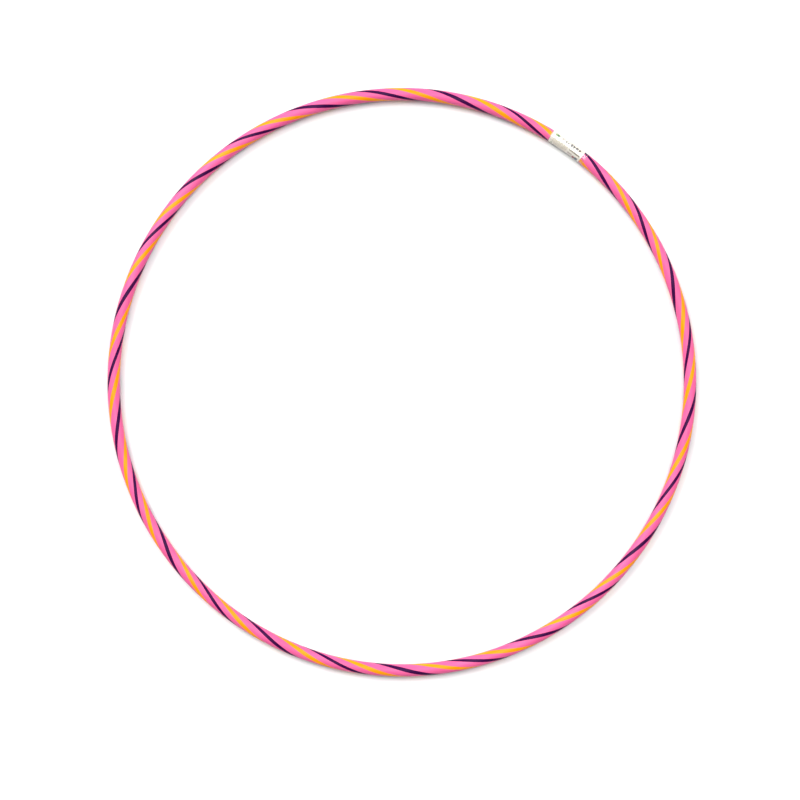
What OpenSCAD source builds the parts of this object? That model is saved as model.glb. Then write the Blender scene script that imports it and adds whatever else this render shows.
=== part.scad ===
// Rhythmic hoop. One extruded plastic tube with four spiral stripes in its skin is bent into a
// ring. A stapled plug inside holds its two cut ends together, and a label and a clear tape are
// wrapped round the joint.
// Millimetres. The ring lies in the XY plane with its centre at the origin and its joint on +X.

/* [Hoop] */
// Outside diameter of the ring
hoop_d = 850; // [600:10:1000]
// Outside diameter of the tube
tube_d = 18; // [16:0.5:24]
// Wall thickness of the tube
tube_wall = 1.6; // [1:0.1:2.4]
// Hairline gap between the tube's two cut ends
seam_gap = 0.2; // [0.1:0.05:1]

/* [Stripes] */
// Turns that each stripe makes round the tube in one lap of the ring
stripe_turns = 13.13; // [8:0.01:18]
// Where the navy stripes start round the tube, in degrees up from the outside of the ring
navy_starts = [46, 228]; // [0:1:359]
// Where the orange stripes start round the tube
orange_starts = [144, 310]; // [0:1:359]
// Widths of the navy stripes, measured round the tube
navy_widths = [5.3, 4.6]; // [2:0.1:7]
// Widths of the orange stripes
orange_widths = [5.8, 6]; // [2:0.1:7]

/* [Joint] */
// Length of the plug inside the joint, without its noses
plug_len = 56; // [44:2:80]
// Length of each slimmer nose of the plug
plug_nose = 4; // [2:0.5:6]
// Wall thickness of the plug
plug_wall = 2.8; // [2:0.1:4]
// Number of grip ribs on each half of the plug
rib_count = 4; // [2:1:4]
// Length of a staple's crown along the tube
staple_crown = 10; // [8:0.5:12]
// Length of a staple's legs
staple_leg = 5.5; // [5:0.1:6]

/* [Label] */
// Length of the printed label along the tube
label_len = 54; // [30:1:70]
// Thickness of the label
label_t = 0.12; // [0.08:0.01:0.3]
// Clear tape past the end of the label that lies clockwise of it, seen from above
tape_past_right = 6; // [1:0.5:10]
// Clear tape past the label's other end
tape_past_left = 1.5; // [1:0.5:10]
// Thickness of the clear tape
tape_t = 0.08; // [0.05:0.01:0.2]

/* [Hidden] */
$fn = 64;

tube_r = tube_d / 2;
bore_r = tube_r - tube_wall;
ring_r = hoop_d / 2 - tube_r;       // radius of the tube's centreline
ring_sides = 180;                   // facets of a whole lap of the ring
overshoot = 1;                      // degrees of the ring that a cut runs past what it cuts

stripe_rise = 0.2;                  // the stripes' skin stands this far out of the tube's wall
stripe_depth = 0.2;                 // and their edges are let into it this far
stripe_steps_per_turn = 20;

wrap_r = tube_r + stripe_rise + 0.02;   // inside of what is wrapped round the striped tube
label_r = wrap_r + label_t;

rib_rise = 0.4;                     // ribs stand out of the plug's body and grip the tube's bore
rib_len = 2;
first_rib = 7;                      // from the seam to the middle of the first rib
rib_inset = 3;                      // from the plug's end to the middle of its last rib
last_rib = plug_len / 2 - rib_inset;
rib_pitch = (last_rib - first_rib) / (rib_count - 1);
nose_shrink = 0.8;                  // the noses' radius is this much under the plug's
plug_r = bore_r - rib_rise;
plug_bore_r = plug_r - plug_wall;

staple_w = 1.2;                     // width of the staple's flat wire
staple_t = 0.6;                     // thickness of the staple's flat wire
staple_from_seam = 14;              // middle of a crown, measured along the tube from the seam

// Angle that a length along the tube's centreline takes up in the ring
function lap(len) = len / ring_r * 180 / PI;

// A point of the ring: u is the angle round the ring, v the angle round the tube, up from outside
function on_ring(u, v, r) = [
    (ring_r + r * cos(v)) * cos(u),
    (ring_r + r * cos(v)) * sin(u),
    r * sin(v)
];

// A solid bar of radius r that follows the ring from angle from to angle to
module ring_bar(r, from, to) {
    rotate([0, 0, from])
        rotate_extrude(angle = to - from, $fn = ring_sides)
            translate([ring_r, 0]) circle(r);
}

// A sleeve round the centreline, from angle from to angle to
module ring_sleeve(r_in, r_out, from, to) {
    rotate([0, 0, from])
        rotate_extrude(angle = to - from, $fn = ring_sides)
            translate([ring_r, 0]) difference() {
                circle(r_out);
                circle(r_in);
            }
}

// The tube, cut through at the seam
module hoop_tube() {
    color("hotpink") difference() {
        rotate_extrude($fn = ring_sides) translate([ring_r, 0]) difference() {
            circle(tube_r);
            circle(bore_r);
        }
        translate([ring_r - tube_d, -seam_gap / 2, -tube_d]) cube([2 * tube_d, seam_gap, 2 * tube_d]);
        staple_cut(1);
        staple_cut(-1);
    }
}

// A ribbon let into the tube's skin. It winds round the tube while it goes round the ring. Its
// inner face is flat from edge to edge, so it is deepest in the middle.
module stripe(start, width) {
    half = width / tube_r * 90 / PI;
    section = [
        [tube_r - stripe_depth, -half], [tube_r - stripe_depth, half],
        [tube_r + stripe_rise, half], [tube_r + stripe_rise, 0], [tube_r + stripe_rise, -half]
    ];
    sides = len(section);
    steps = ceil(stripe_turns * stripe_steps_per_turn);
    first = lap(seam_gap / 2);
    lap_step = (360 - 2 * first) / steps;
    points = [
        for (i = [0:steps], p = section)
            let (u = first + i * lap_step)
                on_ring(u, start + p[1] - stripe_turns * u, p[0])
    ];
    walls = [
        for (i = [0:steps - 1], k = [0:sides - 1])
            let (a = i * sides + k, b = i * sides + (k + 1) % sides)
                each [[a, a + sides, b], [b, a + sides, b + sides]]
    ];
    near_end = [for (k = [0:sides - 1]) k];
    far_end = [for (k = [sides - 1:-1:0]) steps * sides + k];
    polyhedron(points, concat(walls, [near_end, far_end]));
}

module navy_stripe(which) {
    color("midnightblue") stripe(navy_starts[which], navy_widths[which]);
}

module orange_stripe(which) {
    color("orange") stripe(orange_starts[which], orange_widths[which]);
}

// Moulded plug with grip ribs and slimmer noses that joins the tube's two ends from inside
module joint_plug() {
    end = lap(plug_len / 2);
    nose_end = lap(plug_len / 2 + plug_nose);
    color("gainsboro") difference() {
        union() {
            ring_bar(plug_r, -end, end);
            ring_bar(plug_r - nose_shrink, -nose_end, nose_end);
            for (side = [-1, 1], i = [0:rib_count - 1]) {
                middle = side * lap(first_rib + i * rib_pitch);
                ring_bar(bore_r, middle - lap(rib_len / 2), middle + lap(rib_len / 2));
            }
        }
        ring_bar(plug_bore_r, -nose_end - overshoot, nose_end + overshoot);
        staple_cut(1);
        staple_cut(-1);
    }
}

// Stands its children on the inside of the ring, where a staple's crown lies, along that radius
module at_staple(side) {
    rotate([0, 0, side * lap(staple_from_seam)]) translate([ring_r - tube_r, 0, 0]) children();
}

// The two legs of a staple
module staple_legs() {
    for (s = [-1, 1])
        translate([0, s * (staple_crown - staple_t) / 2 - staple_t / 2, -staple_w / 2])
            cube([staple_leg, staple_t, staple_w]);
}

// A flat-wire staple driven through the tube and the plug from the inside of the ring
module staple(side) {
    color("silver") at_staple(side) {
        translate([0, -staple_crown / 2, -staple_w / 2]) cube([staple_t, staple_crown, staple_w]);
        staple_legs();
    }
}

// What a staple takes out of the tube and the plug: its crown's recess, open to the inside of the
// ring, and its legs' slots
module staple_cut(side) {
    at_staple(side) {
        translate([-staple_t, -staple_crown / 2, -staple_w / 2]) cube([2 * staple_t, staple_crown, staple_w]);
        staple_legs();
    }
}

// Printed label, wrapped once round the tube over the seam
module label() {
    half = lap(label_len / 2);
    color("white") ring_sleeve(wrap_r, label_r, -half, half);
}

// Clear tape over the label, which reaches the tube past both of the label's ends
module clear_tape() {
    half = lap(label_len / 2);
    step = lap(tape_t);
    left = half + lap(tape_past_left);
    right = -half - lap(tape_past_right);
    color("aliceblue", 0.35) difference() {
        union() {
            ring_bar(label_r + tape_t, -half - step, half + step);
            ring_bar(wrap_r + tape_t, right, left);
        }
        ring_bar(wrap_r, right - overshoot, left + overshoot);
        ring_bar(label_r, -half, half);
    }
}

hoop_tube();
navy_stripe(0);  // navy_stripe_1
navy_stripe(1);  // navy_stripe_2
orange_stripe(0);  // orange_stripe_1
orange_stripe(1);  // orange_stripe_2
joint_plug();
staple(1);  // left_staple
staple(-1);  // right_staple
label();
clear_tape();
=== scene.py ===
"""Rhythmic hoop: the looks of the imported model, in its own frame, in metres."""
import math

import bpy
import numpy as np
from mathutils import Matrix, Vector


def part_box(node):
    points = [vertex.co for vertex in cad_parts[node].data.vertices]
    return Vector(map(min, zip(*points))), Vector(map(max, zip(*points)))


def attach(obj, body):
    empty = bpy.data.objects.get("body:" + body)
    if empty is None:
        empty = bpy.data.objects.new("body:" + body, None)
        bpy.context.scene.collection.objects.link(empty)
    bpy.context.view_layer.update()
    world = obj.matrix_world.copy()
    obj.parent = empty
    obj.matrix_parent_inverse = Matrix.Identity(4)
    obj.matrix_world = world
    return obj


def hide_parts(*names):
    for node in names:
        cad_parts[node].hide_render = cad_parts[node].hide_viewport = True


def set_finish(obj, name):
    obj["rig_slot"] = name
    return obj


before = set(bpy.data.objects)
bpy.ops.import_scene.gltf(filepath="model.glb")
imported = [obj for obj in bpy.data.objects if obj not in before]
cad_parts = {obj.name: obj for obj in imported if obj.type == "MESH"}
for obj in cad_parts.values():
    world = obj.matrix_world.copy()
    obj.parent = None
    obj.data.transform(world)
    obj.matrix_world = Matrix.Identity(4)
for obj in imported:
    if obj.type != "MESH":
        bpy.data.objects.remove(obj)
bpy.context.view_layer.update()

MM = 0.001
TAU = 2 * math.pi

# ---------------------------------------------------------------- sizes, from the frame

tube_low, tube_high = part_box("hoop_tube")
TUBE_R = round(tube_high.z, 4)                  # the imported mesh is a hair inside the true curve
RING_R = round(tube_high.y, 4) - TUBE_R         # radius of the tube's centreline


def lap_angle(node, side):
    """Angle from the joint to that end of a wrap; side is 1 for the end with the larger Y, or -1."""
    low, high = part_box(node)
    reach = high.y if side > 0 else low.y
    return math.asin(reach / (RING_R + high.z))


LABEL_ENDS = (lap_angle("label", -1), lap_angle("label", 1))
TAPE_ENDS = (lap_angle("clear_tape", -1), lap_angle("clear_tape", 1))

# ---------------------------------------------------------------- the striped tube

WALL = 1.6 * MM
SEAM_GAP = 0.2 * MM
GROOVE = 0.25 * MM                              # how deep the strands of colour go into the wall
TURNS = 13.13                                   # of each stripe round the tube, in one lap of the ring
RINGS = 840
BORE_RINGS = 210
COLUMN = math.radians(5.6)                      # width of a column of faces, round the tube

# name, CAD node, record slot, where it starts round the tube in degrees, width
STRIPES = [
    ("navy_strand_1", "navy_stripe_1", "stripe_navy", 46, 5.3 * MM),
    ("orange_strand_1", "orange_stripe_1", "stripe_orange", 144, 5.8 * MM),
    ("navy_strand_2", "navy_stripe_2", "stripe_navy", 228, 4.6 * MM),
    ("orange_strand_2", "orange_stripe_2", "stripe_orange", 310, 6.0 * MM),
]

# How the stripes run ahead or behind: degrees round the tube, waves in a lap, phase. Fitted to the
# photographed stripes, which do not wind quite evenly.
WANDER = [(7.5, 1, -2.04), (-6.0, 2, 0.32), (1.7, 3, 0.76), (-5.2, 4, -0.12)]
# How the stripes' widths breathe, a guess: share, waves in a lap, phase from stripe to stripe
BREATH = [(0.04, 7, 1.9), (0.03, 17, 0.8)]


def twist(u):
    """How far the stripes have wound round the tube at angle u of the ring, in radians."""
    wander = sum(size * np.cos(waves * u + phase) for size, waves, phase in WANDER)
    return -TURNS * u + np.radians(wander)


def stripe_edges(index, u):
    """Both edges of a stripe round the tube, in radians."""
    start, width = STRIPES[index][3:]
    breath = 1 + sum(share * np.sin(waves * u + index * phase) for share, waves, phase in BREATH)
    middle = math.radians(start) + twist(u)
    half = width / TUBE_R / 2 * breath
    return middle - half, middle + half


def on_ring(u, v, r):
    """Points at angle u round the ring, angle v round the tube (up from outside) and radius r."""
    out = RING_R + r * np.cos(v)
    return np.stack(np.broadcast_arrays(out * np.cos(u), out * np.sin(u), r * np.sin(v)), -1)


def away_from_centreline(u, v):
    """Unit vectors that point straight out of the tube."""
    flat = np.cos(v)
    return np.stack(np.broadcast_arrays(flat * np.cos(u), flat * np.sin(u), np.sin(v)), -1)


def grain(u, v):
    """Where a point is on the plastic as it left the die: round the tube, and metres along it."""
    turned = v - twist(u)
    return np.stack(np.broadcast_arrays(TUBE_R * np.cos(turned), TUBE_R * np.sin(turned), RING_R * u), -1)


def grid_faces(rows, cols, first=0, closed=False):
    """Quads between the points of a grid that is numbered row by row."""
    row = np.arange(rows - 1)[:, None] * cols
    col = np.arange(cols if closed else cols - 1)[None, :]
    after = (col + 1) % cols
    a, b, c, d = row + col, row + after, row + cols + after, row + cols + col
    return (np.stack([a, b, c, d], -1).reshape(-1, 4) + first).tolist()


def volume(points, faces):
    """Signed volume inside the faces. It is negative where they face inward."""
    total = 0.0
    for face in faces:
        a = points[face[0]]
        for i in range(1, len(face) - 1):
            total += np.dot(a, np.cross(points[face[i]], points[face[i + 1]]))
    return total / 6


def make_piece(name, points, faces, node_slot, replaced, attributes=()):
    """A new piece of the hoop from its points and faces. It stands for the CAD nodes in replaced."""
    mesh = bpy.data.meshes.new(name)
    mesh.from_pydata(points.tolist(), [], faces)
    mesh.polygons.foreach_set("use_smooth", [True] * len(faces))
    for key, values in attributes:
        layer = mesh.attributes.new(key, "FLOAT_VECTOR", "POINT")
        layer.data.foreach_set("vector", np.asarray(values, np.float32).ravel())
    mesh.update()
    piece = bpy.data.objects.new(name, mesh)
    bpy.context.scene.collection.objects.link(piece)
    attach(piece, "root")
    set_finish(piece, node_slot)
    if replaced:
        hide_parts(*replaced)
    return piece


SAME_WAY = 0.8                                  # cosine within which a face lies along the skin


def round_normals(piece, true_normals):
    """Shades each face that lies along the round skin as the true curve, and every other face
    flat."""
    mesh = piece.data
    corner_point = np.zeros(len(mesh.loops), np.int64)
    mesh.loops.foreach_get("vertex_index", corner_point)
    face_normal = np.zeros(len(mesh.polygons) * 3)
    mesh.polygons.foreach_get("normal", face_normal)
    face_normal = face_normal.reshape(-1, 3)
    sizes = np.zeros(len(mesh.polygons), np.int64)
    mesh.polygons.foreach_get("loop_total", sizes)
    normals = np.repeat(face_normal, sizes, axis=0)
    round_ones = true_normals[corner_point]
    along_skin = np.einsum("ij,ij->i", round_ones, normals) > SAME_WAY
    normals[along_skin] = round_ones[along_skin]
    mesh.normals_split_custom_set(normals.tolist())


def make_tube():
    """The pink tube: a grooved skin, a bore and two cut ends, closed into one wall."""
    first = SEAM_GAP / 2 / RING_R
    u = np.linspace(first, TAU - first, RINGS)[:, None]
    edges = [stripe_edges(i, u) for i in range(len(STRIPES))]
    angles, radii, bore_of = [], [], []
    for i, (start, end) in enumerate(edges):
        after = edges[(i + 1) % len(edges)][0] + (TAU if i == len(edges) - 1 else 0)
        for low, high, r in ((start, end, TUBE_R - GROOVE), (end, after, TUBE_R)):
            columns = max(2, round(float(np.mean(high - low)) / COLUMN))
            for t in np.linspace(0, 1, columns + 1):
                joins = t == 0 and angles
                bore_of.append(bore_of[-1] if joins else (bore_of[-1] + 1 if bore_of else 0))
                angles.append(low + (high - low) * t)
                radii.append(r)
    bore_of[-1] = 0                             # the last column is the first one, a turn later
    cols = len(angles)
    v = np.concatenate(angles, axis=1)
    r = np.array(radii)[None, :]
    skin = on_ring(u, v, r).reshape(-1, 3)

    bore_cols = max(bore_of) + 1
    pick = [bore_of.index(k) for k in range(bore_cols)]
    laps = round(float((v[-1, 0] - v[0, 0]) / TAU))
    share = np.linspace(0, 1, BORE_RINGS)[:, None]
    bore_u = first + (TAU - 2 * first) * share
    bore_v = v[0, pick] + (v[-1, pick] - laps * TAU - v[0, pick]) * share
    bore = on_ring(bore_u, bore_v, TUBE_R - WALL).reshape(-1, 3)

    base = len(skin)
    faces = grid_faces(RINGS, cols, closed=True)
    faces += [f[::-1] for f in grid_faces(BORE_RINGS, bore_cols, base, closed=True)]
    for row, bore_row, turn in ((0, 0, 1), (RINGS - 1, BORE_RINGS - 1, -1)):
        for j in range(cols):
            k = (j + 1) % cols
            ring = [row * cols + k, row * cols + j]
            inner = [base + bore_row * bore_cols + bore_of[j], base + bore_row * bore_cols + bore_of[k]]
            face = ring + (inner if inner[0] != inner[1] else inner[:1])
            faces.append(face[::turn])
    points = np.concatenate([skin, bore])
    if volume(points, faces) < 0:
        faces = [f[::-1] for f in faces]
    where = np.concatenate([grain(u, v).reshape(-1, 3), grain(bore_u, bore_v).reshape(-1, 3)])
    piece = make_piece("tube_wall", points, faces, "tube_pink", ["hoop_tube"], [("grain", where)])
    outward = away_from_centreline(u, v).reshape(-1, 3)
    inward = -away_from_centreline(bore_u, bore_v).reshape(-1, 3)
    round_normals(piece, np.concatenate([outward, inward]))
    return piece


def make_strand(index):
    """One strand of colour, flush in its groove from one cut end of the tube to the other."""
    name, node, node_slot, _, width = STRIPES[index]
    first = SEAM_GAP / 2 / RING_R
    u = np.linspace(first, TAU - first, RINGS)[:, None]
    start, end = stripe_edges(index, u)
    columns = max(2, round(width / TUBE_R / COLUMN))
    share = np.linspace(0, 1, columns + 1)[None, :]
    v = start + (end - start) * share
    v = np.concatenate([v, v[:, ::-1]], axis=1)
    r = np.array([TUBE_R] * (columns + 1) + [TUBE_R - GROOVE] * (columns + 1))[None, :]
    cols = v.shape[1]
    points = on_ring(u, v, r).reshape(-1, 3)
    faces = grid_faces(RINGS, cols, closed=True)
    for row, turn in ((0, 1), (RINGS - 1, -1)):
        for j in range(columns):
            corners = [j, j + 1, cols - 2 - j, cols - 1 - j]
            faces.append([row * cols + c for c in corners][::-turn])
    if volume(points, faces) < 0:
        faces = [f[::-1] for f in faces]
    piece = make_piece(
        name, points, faces, node_slot, [node], [("grain", grain(u, v).reshape(-1, 3))]
    )
    round_normals(piece, away_from_centreline(u, v).reshape(-1, 3))
    return piece


tube = make_tube()
strands = [make_strand(i) for i in range(len(STRIPES))]

# ---------------------------------------------------------------- the wrapped label and tape

GAP = 0.015 * MM                                # between one wrapped layer and the next
LABEL_T = 0.11 * MM                             # both films are a little thinner than the CAD's,
TAPE_T = 0.06 * MM                              # so that their overlaps stay inside its box
LABEL_LAP = (math.radians(-80), math.radians(22))   # where it starts round the tube, its overlap
TAPE_LAP = (math.radians(-128), math.radians(30))
RAMP = math.radians(7)                          # over which a layer climbs onto its own start
AROUND = 128                                    # columns of a wrap
STEP_START = 0.05 * MM                          # past the label's end, where the tape starts down
FREE_STEP = 0.9 * MM                            # over which the tape comes down off the label
AIR_MIDDLE = 0.5 * MM                           # past the label's end, where the tape bridges air
AIR_REACH = 0.35 * MM                           # how far the air reaches either side of that
AIR_WHITE = 0.3                                 # how white it looks, where a cut edge is 1
CUT_EDGE = 0.25 * MM                            # how far in from its cut the tape looks white
SHARP = math.radians(40)
LABEL_LEN = (LABEL_ENDS[1] - LABEL_ENDS[0]) * RING_R


def smooth(x):
    x = np.clip(x, 0, 1)
    return x * x * (3 - 2 * x)


def climb(turned):
    """How much of its own thickness a wrap has climbed, after turning that far round the tube."""
    return smooth((turned - (TAU - RAMP)) / RAMP)


# The label's shallow folds, in millimetres: middle from its left end, half width, height
FOLDS = [(9, 1.3, 0.07), (21, 1.6, 0.05), (33, 1.2, 0.08), (46, 1.5, 0.06)]
FOLD_LEAN = 1.5                                 # how far a fold leans along the label
FOLD_REACH = 0.75                               # radians round the tube that a fold dies out over


def pucker(s, v):
    """Height of the folds. They lie on the inside of the ring, where a straight label has length
    to spare. s is in metres from the label's left end."""
    inside = np.exp(-((np.mod(v, TAU) - math.pi) / FOLD_REACH) ** 2)
    folds = 0
    for middle, width, rise in FOLDS:
        folds = folds + rise * np.exp(-((s / MM - middle - FOLD_LEAN * np.cos(v)) / width) ** 2)
    return folds * MM * inside


def label_rise(s, v):
    """Height of the label's outer face over the tube, once it is lapped onto itself."""
    start, overlap = LABEL_LAP
    turned = np.mod(v - start, TAU)
    lapped = np.maximum(climb(turned), 1 - smooth((turned - overlap) / (RAMP / 2)))
    return GAP + LABEL_T + (LABEL_T + GAP) * lapped + pucker(s, v)


def wrap(name, s, lap, thickness, base, node_slot, node, edge_mark):
    """A film wrapped once round the tube and lapped onto itself. base gives the height over the
    tube that it lies on."""
    start, overlap = lap
    turned = np.linspace(0, TAU + overlap, AROUND + 1)[None, :]
    s = s[:, None]
    v = start + turned
    u = LABEL_ENDS[1] - s / RING_R
    low = TUBE_R + base(s, v) + (thickness + GAP) * climb(turned)
    rows, cols = low.shape
    outer = on_ring(u, v, low + thickness).reshape(-1, 3)
    inner = on_ring(u, v, low).reshape(-1, 3)
    count = rows * cols
    faces = grid_faces(rows, cols) + [f[::-1] for f in grid_faces(rows, cols, count)]
    rim = list(range(cols))
    rim += [row * cols + cols - 1 for row in range(1, rows)]
    rim += [(rows - 1) * cols + col for col in range(cols - 2, -1, -1)]
    rim += [row * cols for row in range(rows - 2, 0, -1)]
    for a, b in zip(rim, rim[1:] + rim[:1]):
        faces.append([b, a, a + count, b + count])
    points = np.concatenate([outer, inner])
    if volume(points, faces) < 0:
        faces = [f[::-1] for f in faces]
    round_mm = v * (TUBE_R / MM)
    marks = np.stack(np.broadcast_arrays(s / MM, round_mm, edge_mark(s, turned)), -1).reshape(-1, 3)
    both_faces = np.concatenate([marks, marks])
    piece = make_piece(name, points, faces, node_slot, [node], [("print_mm", both_faces)])
    piece.data.set_sharp_from_angle(angle=SHARP)
    return piece


def tape_base(s, v):
    """The tape lies on the label, and steps down to the tube just past the label's two ends."""
    past = np.maximum(-s, s - LABEL_LEN)
    on_label = 1 - smooth((past - STEP_START) / FREE_STEP)
    held = np.clip(s, 0, LABEL_LEN)
    return GAP + label_rise(held, v) * on_label


def tape_edge_mark(s, turned):
    """How white the tape looks: at its cut edges and over the air beside the label's ends."""
    total = TAU + TAPE_LAP[1]
    left, right = TAPE_S[0], TAPE_S[-1]
    near = np.minimum(np.minimum(s - left, right - s), np.minimum(turned, total - turned) * TUBE_R)
    past = np.maximum(-s, s - LABEL_LEN)
    air = np.exp(-((past - AIR_MIDDLE) / AIR_REACH) ** 2)
    return np.maximum(1 - smooth(near / CUT_EDGE), AIR_WHITE * air)


LABEL_S = np.linspace(0, LABEL_LEN, 111)
tape_left = (TAPE_ENDS[1] - LABEL_ENDS[1]) * RING_R
tape_right = (LABEL_ENDS[0] - TAPE_ENDS[0]) * RING_R
lift = 0.2 * MM                                 # the tape's rows are closer from here inside the
landed = 1.2 * MM                               # label's ends to here past them
TAPE_S = np.concatenate([
    np.linspace(-tape_left, lift, 15),
    np.linspace(lift, LABEL_LEN - lift, 101)[1:],
    np.linspace(LABEL_LEN - lift, LABEL_LEN + landed, 13)[1:],
    np.linspace(LABEL_LEN + landed, LABEL_LEN + tape_right, 13)[1:],
])
label = wrap(
    "label_wrap", LABEL_S, LABEL_LAP, LABEL_T, lambda s, v: GAP + pucker(s, v),
    "label_print", "label", lambda s, turned: 0 * s,
)
tape = wrap("tape_wrap", TAPE_S, TAPE_LAP, TAPE_T, tape_base, "tape_clear", "clear_tape", tape_edge_mark)

# ---------------------------------------------------------------- materials


class Paint:
    """A material and a short way to add nodes to it."""

    def __init__(self, name):
        self.material = bpy.data.materials.new(name)
        self.material.use_nodes = True
        self.tree = self.material.node_tree
        self.shader = self.tree.nodes["Principled BSDF"]
        self.output = self.tree.nodes["Material Output"]

    def set(self, socket, value):
        if isinstance(value, bpy.types.NodeSocket):
            self.tree.links.new(value, socket)
        else:
            socket.default_value = value

    def node(self, kind, settings=None, **inputs):
        node = self.tree.nodes.new(kind)
        for key, value in (settings or {}).items():
            setattr(node, key, value)
        for key, value in inputs.items():
            self.set(node.inputs[key.replace("_", " ")], value)
        return node

    def shade(self, **inputs):
        for key, value in inputs.items():
            self.set(self.shader.inputs[key.replace("_", " ")], value)

    def math(self, operation, *values, clamp=False):
        node = self.tree.nodes.new("ShaderNodeMath")
        node.operation = operation
        node.use_clamp = clamp
        for socket, value in zip(node.inputs, values):
            self.set(socket, value)
        return node.outputs[0]

    def vector(self, operation, *values):
        node = self.tree.nodes.new("ShaderNodeVectorMath")
        node.operation = operation
        for socket, value in zip(node.inputs, values):
            self.set(socket, value)
        return node.outputs[0]

    def attribute(self, name):
        return self.node("ShaderNodeAttribute", {"attribute_name": name}).outputs["Vector"]

    def split(self, vector):
        return self.node("ShaderNodeSeparateXYZ", Vector=vector).outputs

    def noise(self, vector, scale, detail=2.0, roughness=0.5):
        node = self.node(
            "ShaderNodeTexNoise", Vector=vector, Scale=scale, Detail=detail, Roughness=roughness
        )
        return node.outputs[0]

    def ramp(self, value, low, high, to_low=0.0, to_high=1.0, smooth=False):
        node = self.node("ShaderNodeMapRange")
        node.interpolation_type = "SMOOTHSTEP" if smooth else "LINEAR"
        for socket, number in zip(node.inputs, (value, low, high, to_low, to_high)):
            self.set(socket, number)
        return node.outputs[0]

    def mix(self, share, first, second):
        node = self.tree.nodes.new("ShaderNodeMix")
        node.data_type = "RGBA"
        self.set(node.inputs["Factor"], share)
        self.set(node.inputs["A"], first)
        self.set(node.inputs["B"], second)
        return node.outputs["Result"]

    def bump(self, height, strength, distance):
        node = self.node("ShaderNodeBump", Strength=strength, Distance=distance, Height=height)
        return node.outputs[0]


def tinted(colour, factor):
    return tuple(min(1.0, c * factor) for c in colour[:3]) + (1,)


def extruded_plastic(name, colour, deep, mirror):
    """Shiny plastic as it leaves a die: cloudy by a few hundredths, with fine lines drawn along the
    strands, a slight orange-peel and sparse rubbed patches where it has been handled."""
    paint = Paint(name)
    place = paint.attribute("grain")
    cloud = paint.noise(place, 22, detail=3)
    drawn = paint.vector("MULTIPLY", place, (1, 1, 0.012))
    lines = paint.noise(drawn, 1700, detail=3, roughness=0.65)
    peel = paint.noise(place, 420, detail=2)
    streaks = paint.noise(paint.vector("MULTIPLY", place, (1, 1, 0.12)), 520, detail=4, roughness=0.7)
    handled = paint.noise(place, 60, detail=2)
    rubbed = paint.math(
        "MULTIPLY",
        paint.ramp(streaks, 0.62, 0.74, smooth=True),
        paint.ramp(handled, 0.5, 0.66, smooth=True),
    )
    body = paint.mix(paint.ramp(cloud, 0.32, 0.68), deep, colour)
    body = paint.mix(paint.ramp(lines, 0.35, 0.75, 0, 0.12), body, tinted(colour, 1.25))
    body = paint.mix(paint.math("MULTIPLY", rubbed, 0.22), body, tinted(colour, 1.7))
    rough = paint.ramp(lines, 0.3, 0.7, 0.33, 0.41)
    rough = paint.math("ADD", rough, paint.math("MULTIPLY", rubbed, 0.18))
    height = paint.math("ADD", paint.math("MULTIPLY", lines, 0.35), peel)
    paint.shade(Base_Color=body, Roughness=rough, Normal=paint.bump(height, 0.25, 0.03 * MM))
    paint.shade(Specular_IOR_Level=mirror)
    return paint.material


def moulded_plastic():
    """The plug's uncoloured plastic: faintly mottled, with the fine matt grain of its mould."""
    paint = Paint("plug_natural")
    place = paint.node("ShaderNodeTexCoord").outputs["Object"]
    mottle = paint.noise(place, 160, detail=4)
    skin = paint.noise(place, 2600, detail=2)
    body = paint.mix(paint.ramp(mottle, 0.3, 0.7), (0.62, 0.6, 0.53, 1), (0.76, 0.75, 0.69, 1))
    paint.shade(Base_Color=body, Roughness=paint.ramp(skin, 0.3, 0.7, 0.5, 0.66))
    paint.shade(Normal=paint.bump(skin, 0.3, 0.03 * MM))
    return paint.material


def staple_wire():
    """Bright flat wire, with lines drawn along it."""
    paint = Paint("staple_steel")
    place = paint.node("ShaderNodeTexCoord").outputs["Object"]
    drawn = paint.noise(paint.vector("MULTIPLY", place, (1, 0.05, 1)), 9000, detail=3)
    body = paint.mix(paint.ramp(drawn, 0.3, 0.7), (0.5, 0.5, 0.51, 1), (0.68, 0.68, 0.69, 1))
    paint.shade(Base_Color=body, Metallic=1.0, Roughness=paint.ramp(drawn, 0.3, 0.7, 0.22, 0.4))
    paint.shade(Normal=paint.bump(drawn, 0.3, 0.01 * MM))
    return paint.material


GREY_INK = (0.05, 0.045, 0.04, 1)
DARK_INK = (0.012, 0.009, 0.01, 1)
BROWN_INK = (0.14, 0.1, 0.075, 1)
TAN_INK = (0.58, 0.51, 0.4, 1)
PALE_INK = (0.36, 0.27, 0.26, 1)
GREEN_INK = (0.09, 0.22, 0.08, 1)
LIME_INK = (0.27, 0.4, 0.16, 1)
RED_INK = (0.28, 0.012, 0.02, 1)
BLUE_INK = (0.015, 0.045, 0.1, 1)

# The label's generic marks, in millimetres: along the label from its left end, and round it from
# the outside of the ring over the top. Blocks are middle, half size, ink.
BLOCKS = [
    ((24.2, 10.7), (1.2, 1.2), GREY_INK),
    ((27.4, 11.2), (0.9, 1.0), GREY_INK),
    ((33.2, 10.4), (1.7, 2.0), DARK_INK),
    ((37.2, 10.7), (1.5, 1.8), DARK_INK),
    ((46.8, 10.4), (1.5, 2.1), BROWN_INK),
    ((43.6, 25.2), (2.1, 2.6), RED_INK),
    ((48.4, 24.9), (2.5, 2.8), BLUE_INK),
    ((5.0, 24.4), (1.3, 1.1), GREEN_INK),
    ((27.0, 30.8), (23.5, 0.12), GREY_INK),
]
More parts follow.
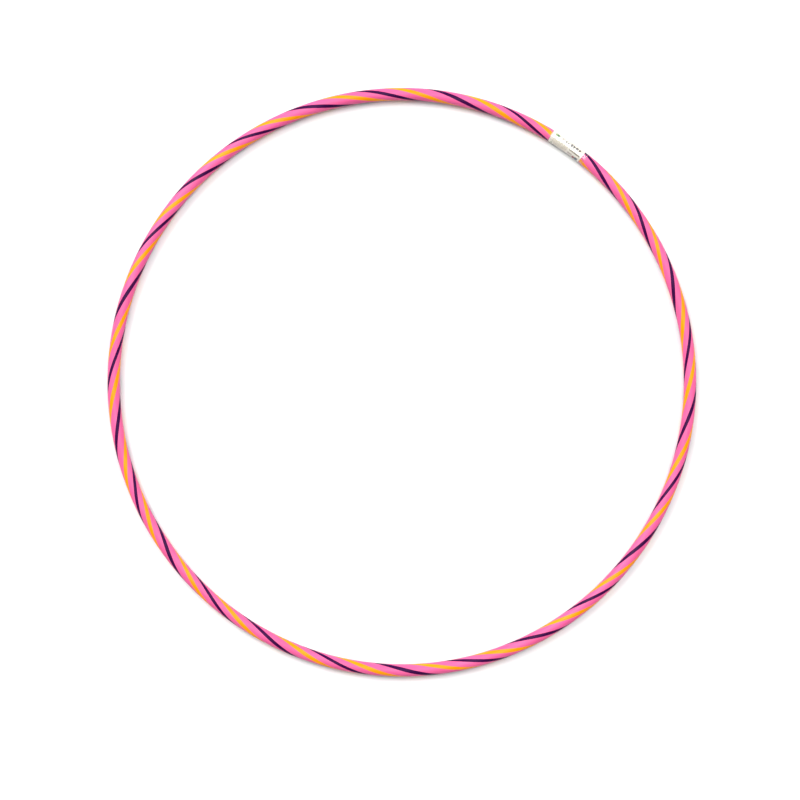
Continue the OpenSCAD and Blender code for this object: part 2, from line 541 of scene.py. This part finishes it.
# Rings are middle, radius, half thickness, ink.
ROUND_MARKS = [
    ((7.2, 8.9), 1.3, 0.9, LIME_INK),
    ((9.8, 9.2), 1.0, 1.0, GREEN_INK),
    ((18.0, 10.4), 1.1, 0.5, PALE_INK),
    ((42.0, 10.4), 1.3, 0.9, GREY_INK),
    ((9.0, 44.0), 2.0, 0.2, GREY_INK),
    ((16.0, 44.0), 2.0, 0.2, GREY_INK),
    ((23.0, 44.0), 2.0, 0.2, GREY_INK),
]
# Lines of small print, drawn as rows of dashes: left, right, first row, last row, pitch, ink.
SMALL_PRINT = [
    (33.2, 51.4, 16.2, 19.0, 2.8, BROWN_INK),
    (32.8, 40.5, 21.0, 25.8, 2.4, PALE_INK),
    (3.2, 30.0, 15.6, 21.6, 2.0, TAN_INK),
    (8.0, 30.0, 21.6, 27.6, 2.0, TAN_INK),
    (3.5, 50.5, 31.9, 40.0, 1.35, GREY_INK),
    (31.0, 50.5, 41.6, 46.3, 1.2, GREY_INK),
]


def printed_label():
    """Cream-white film with generic marks, and rows of dashes for the small print."""
    paint = Paint("label_print")
    place = paint.attribute("print_mm")
    along, around, _ = paint.split(place)
    fibre = paint.noise(place, 0.9, detail=4)
    body = paint.mix(paint.ramp(fibre, 0.3, 0.7), (0.73, 0.695, 0.61, 1), (0.79, 0.76, 0.685, 1))
    patchy = paint.ramp(paint.noise(place, 6.0, detail=2), 0.2, 0.5, 0.94, 1.0)
    soft = 0.12

    def ink(body, mask, colour):
        return paint.mix(paint.math("MULTIPLY", mask, patchy), body, colour)

    for middle, half, colour in BLOCKS:
        away = paint.vector("ABSOLUTE", paint.vector("SUBTRACT", place, middle + (0,)))
        x, y, _ = paint.split(paint.vector("SUBTRACT", away, half + (0,)))
        body = ink(body, paint.ramp(paint.math("MAXIMUM", x, y), -soft, soft, 1, 0), colour)
    for middle, radius, half, colour in ROUND_MARKS:
        away = paint.node("ShaderNodeVectorMath", {"operation": "DISTANCE"})
        paint.set(away.inputs[0], place)
        paint.set(away.inputs[1], middle + (0,))
        edge = paint.math("ABSOLUTE", paint.math("SUBTRACT", away.outputs["Value"], radius))
        body = ink(body, paint.ramp(edge, half - soft, half + soft, 1, 0), colour)
    for left, end, first, last, pitch, colour in SMALL_PRINT:
        row = paint.math("DIVIDE", paint.math("SUBTRACT", around, first), pitch)
        line = paint.math("ABSOLUTE", paint.math("SUBTRACT", paint.math("FRACT", row), 0.5))
        mask = paint.ramp(line, 0.28, 0.38, 1, 0)
        place_in_row = paint.node("ShaderNodeCombineXYZ", X=along, Y=paint.math("FLOOR", row), Z=left)
        spread = paint.vector("MULTIPLY", place_in_row.outputs[0], (1.1, 17.3, 3.1))
        mask = paint.math("MULTIPLY", mask, paint.ramp(paint.noise(spread, 1.0), 0.38, 0.43))
        breaks = paint.vector("MULTIPLY", place_in_row.outputs[0], (5.2, 9.7, 1.3))
        mask = paint.math("MULTIPLY", mask, paint.ramp(paint.noise(breaks, 1.0), 0.36, 0.5, 0.35, 1))
        middle = ((left + end) / 2, (first + last) / 2, 0)
        half = ((end - left) / 2, (last - first) / 2, 0)
        away = paint.vector("ABSOLUTE", paint.vector("SUBTRACT", place, middle))
        x, y, _ = paint.split(paint.vector("SUBTRACT", away, half))
        inside = paint.ramp(paint.math("MAXIMUM", x, y), -soft, soft, 1, 0)
        body = ink(body, paint.math("MULTIPLY", mask, inside), colour)
    paint.shade(Base_Color=body, Roughness=paint.ramp(fibre, 0.3, 0.7, 0.42, 0.56))
    paint.shade(Normal=paint.bump(paint.noise(place, 14, detail=3), 0.25, 0.02 * MM))
    paint.shade(Specular_IOR_Level=0.4)
    return paint.material


def clear_film():
    """Clear tape. It mirrors what a shiny film does and passes the rest. Its cut edges and the air
    that it bridges beside the label's ends look white."""
    paint = Paint("tape_clear")
    place = paint.attribute("print_mm")
    edge = paint.split(place)[2]
    smear = paint.noise(paint.vector("MULTIPLY", place, (1, 0.25, 1)), 0.7, detail=4)
    ripple = paint.noise(paint.vector("MULTIPLY", place, (1, 0.6, 1)), 0.24, detail=1)
    bend = paint.bump(ripple, 0.2, 0.5 * MM)
    mirror = paint.node(
        "ShaderNodeBsdfGlossy", Roughness=paint.ramp(smear, 0.3, 0.7, 0.08, 0.18), Normal=bend
    )
    paint.set(mirror.inputs["Color"], (1, 1, 1, 1))
    through = paint.node("ShaderNodeBsdfTransparent")
    paint.set(through.inputs["Color"], (0.985, 0.985, 0.98, 1))
    facing = paint.node("ShaderNodeLayerWeight", Blend=0.5, Normal=bend).outputs["Facing"]
    glance = paint.math("MULTIPLY_ADD", paint.math("POWER", facing, 5.0), 0.6, 0.032)
    film = paint.node("ShaderNodeMixShader", Fac=glance)
    paint.set(film.inputs[1], through.outputs[0])
    paint.set(film.inputs[2], mirror.outputs[0])
    white = paint.node("ShaderNodeBsdfDiffuse")
    paint.set(white.inputs["Color"], (0.92, 0.92, 0.92, 1))
    haze = paint.ramp(smear, 0.35, 0.75, 0.0, 0.05)
    amount = paint.math("MAXIMUM", paint.math("MULTIPLY", edge, 0.4), haze)
    whole = paint.node("ShaderNodeMixShader", Fac=amount)
    paint.set(whole.inputs[1], film.outputs[0])
    paint.set(whole.inputs[2], white.outputs[0])
    paint.set(paint.output.inputs["Surface"], whole.outputs[0])
    paint.tree.nodes.remove(paint.shader)
    return paint.material


PINK = extruded_plastic("tube_pink", (0.79, 0.118, 0.305, 1), (0.75, 0.1, 0.268, 1), 0.2)
NAVY = extruded_plastic("stripe_navy", (0.038, 0.002, 0.05, 1), (0.03, 0.0015, 0.04, 1), 0.08)
ORANGE = extruded_plastic("stripe_orange", (0.9, 0.315, 0.002, 1), (0.86, 0.28, 0.0015, 1), 0.18)
SKINS = {"tube_pink": PINK, "stripe_navy": NAVY, "stripe_orange": ORANGE}
for piece in [tube] + strands:
    piece.data.materials.append(SKINS[piece["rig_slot"]])
label.data.materials.append(printed_label())
tape.data.materials.append(clear_film())


def repaint(node, material):
    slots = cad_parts[node].data.materials
    for i in range(len(slots)):
        slots[i] = material


repaint("joint_plug", moulded_plastic())
wire = staple_wire()
repaint("left_staple", wire)
repaint("right_staple", wire)

# ---------------------------------------------------------------- floor, light and camera

scene = bpy.context.scene
scene.view_settings.view_transform = "Standard"
scene.view_settings.look = "None"

VIEW_TURN = math.radians(55.1)                  # +X, the joint, points up and right in the view
LENS = 100
SENSOR = 36
VIEW_WIDTH = 1.155                              # metres of the hoop's plane that the view takes in
VIEW_MIDDLE = (-0.0027, -0.0257)                # metres right of and above the ring's middle
right = Vector((math.cos(VIEW_TURN), -math.sin(VIEW_TURN), 0))
up = Vector((math.sin(VIEW_TURN), math.cos(VIEW_TURN), 0))


def add_camera():
    data = bpy.data.cameras.new("camera")
    data.lens = LENS
    data.sensor_width = SENSOR
    data.clip_end = 50
    camera = bpy.data.objects.new("camera", data)
    scene.collection.objects.link(camera)
    height = VIEW_WIDTH * LENS / SENSOR
    camera.location = VIEW_MIDDLE[0] * right + VIEW_MIDDLE[1] * up + Vector((0, 0, height))
    camera.rotation_euler = (0, 0, -VIEW_TURN)
    scene.camera = camera


def add_softbox(name, toward, height, size, power):
    """A square light that faces the hoop. toward is its place in the view: right, up."""
    data = bpy.data.lights.new(name, "AREA")
    data.size = size
    data.energy = power
    light = bpy.data.objects.new(name, data)
    light.location = right * toward[0] + up * toward[1] + Vector((0, 0, height))
    light.rotation_euler = (-light.location).to_track_quat("-Z", "Y").to_euler()
    scene.collection.objects.link(light)


def add_floor():
    """A plain pale floor."""
    material = bpy.data.materials.new("floor")
    material.use_nodes = True
    shader = material.node_tree.nodes["Principled BSDF"]
    shader.inputs["Base Color"].default_value = (0.82, 0.82, 0.82, 1)
    shader.inputs["Roughness"].default_value = 0.9
    shader.inputs["Specular IOR Level"].default_value = 0.0
    half = 18                                   # metres from its middle to an edge
    z = -TUBE_R - 0.25 * MM                     # just under the label and tape, the lowest pieces
    mesh = bpy.data.meshes.new("floor")
    corners = [(-half, -half, z), (half, -half, z), (half, half, z), (-half, half, z)]
    mesh.from_pydata(corners, [], [(0, 1, 2, 3)])
    mesh.materials.append(material)
    floor = bpy.data.objects.new("floor", mesh)
    scene.collection.objects.link(floor)


def add_world():
    """A dim white surround that is brighter behind the floor's far edge."""
    world = bpy.data.worlds.new("studio")
    world.use_nodes = True
    background = world.node_tree.nodes["Background"]
    background.inputs["Color"].default_value = (1, 1, 1, 1)
    low, high, glow, dim = 0.0, 0.2, 0.85, 0.1  # heights of the fade, strengths at them
    nodes = world.node_tree.nodes
    links = world.node_tree.links
    direction = nodes.new("ShaderNodeTexCoord").outputs["Generated"]
    split = nodes.new("ShaderNodeSeparateXYZ")
    links.new(direction, split.inputs[0])
    fade = nodes.new("ShaderNodeMapRange")
    fade.interpolation_type = "SMOOTHSTEP"
    for socket, value in zip(list(fade.inputs)[1:], (low, high, glow, dim)):
        socket.default_value = value
    links.new(split.outputs["Z"], fade.inputs["Value"])
    links.new(fade.outputs[0], background.inputs["Strength"])
    scene.world = world


add_camera()
add_softbox("left_softbox", (-12, 12), 18, 13, 5600)
add_softbox("right_softbox", (12, 10), 18, 13, 2900)
add_softbox("top_softbox", (0, 2), 23, 15, 3000)
add_floor()
add_world()
